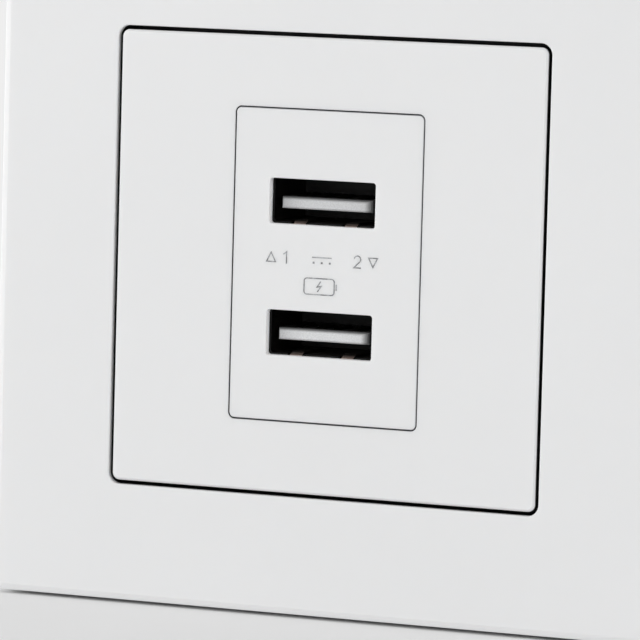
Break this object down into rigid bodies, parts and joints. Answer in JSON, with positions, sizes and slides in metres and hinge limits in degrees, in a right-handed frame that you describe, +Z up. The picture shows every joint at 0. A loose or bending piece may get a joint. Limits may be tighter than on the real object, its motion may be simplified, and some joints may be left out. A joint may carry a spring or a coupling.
{
  "type": "usb wall socket",
  "caption": "Flush wall socket with a bevelled cover frame, a centre plate and a charger with charging ports, on a folded support yoke, with mains screw terminals behind.",
  "frame": {"origin": "on the wall's surface, midway between the fixing screws of the wall box", "axes": "+X to the right and +Z up as one faces the socket, +Y into the wall, so the front faces -Y"},
  "size_m": [0.0818, 0.0365, 0.0798],
  "materials": {
    "white_plastic": "satin moulded",
    "rear_plastic": "satin moulded",
    "terminal_plastic": "matt moulded",
    "zinc_steel": "zinc plated",
    "port_steel": "dark plated",
    "port_plastic": "matt moulded",
    "plated_brass": "plated",
    "board": "solder mask",
    "black_plastic": "matt moulded",
    "ferrite": "matt ferrite",
    "yellow_tape": "wound tape",
    "dark_can": "sleeved can",
    "bright_can": "bare can",
    "blue_coat": "dipped coating",
    "green_coat": "cement coating"
  },
  "bodies": {
    "socket": {"cover_frame": "white_plastic", "centre_plate": "white_plastic", "case_front": "white_plastic", "case_rear": "rear_plastic", "support_yoke": "zinc_steel", "terminal_block": "terminal_plastic", "port_board": "board", "power_board": "board", "header_spacer": "black_plastic", "header_pins": "plated_brass", "transformer_core": "ferrite", "transformer_bobbin": "black_plastic", "transformer_winding": "yellow_tape", "input_capacitors": "dark_can", "output_capacitors": "bright_can", "safety_capacitor": "blue_coat", "fuse_resistor": "green_coat", "filter_choke": "black_plastic", "bridge_rectifier": "black_plastic", "controller_chip": "black_plastic", "optocoupler": "black_plastic", "output_diode": "black_plastic", "upper_port_shell": "port_steel", "upper_port_insulator": "port_plastic", "upper_port_contacts": "plated_brass", "lower_port_shell": "port_steel", "lower_port_insulator": "port_plastic", "lower_port_contacts": "plated_brass", "line_bus_bar": "plated_brass", "neutral_bus_bar": "plated_brass"},
    "line_screw": {"line_terminal_screw": "zinc_steel"},
    "line_cage": {"line_clamp_cage": "zinc_steel"},
    "neutral_screw": {"neutral_terminal_screw": "zinc_steel"},
    "neutral_cage": {"neutral_clamp_cage": "zinc_steel"}
  },
  "joints": [
    {"name": "line_screw_turn", "type": "hinge", "parent": "socket", "child": "line_screw", "pos_m": [-0.0056, 0.0255, -0.01475], "axis": [0, -1, 0], "range_deg": [0, 1728]},
    {"name": "line_cage_rise", "type": "slide", "parent": "socket", "child": "line_cage", "axis": [0, 1, 0], "range_m": [0, 0.0024]},
    {"name": "neutral_screw_turn", "type": "hinge", "parent": "socket", "child": "neutral_screw", "pos_m": [0.0056, 0.0255, -0.01475], "axis": [0, -1, 0], "range_deg": [0, 1728]},
    {"name": "neutral_cage_rise", "type": "slide", "parent": "socket", "child": "neutral_cage", "axis": [0, 1, 0], "range_m": [0, 0.0024]}
  ],
  "couplings": [
    {"joint": "line_screw_turn", "follows": "line_cage_rise", "rad_per_m": 12566},
    {"joint": "neutral_screw_turn", "follows": "neutral_cage_rise", "rad_per_m": 12566}
  ]
}
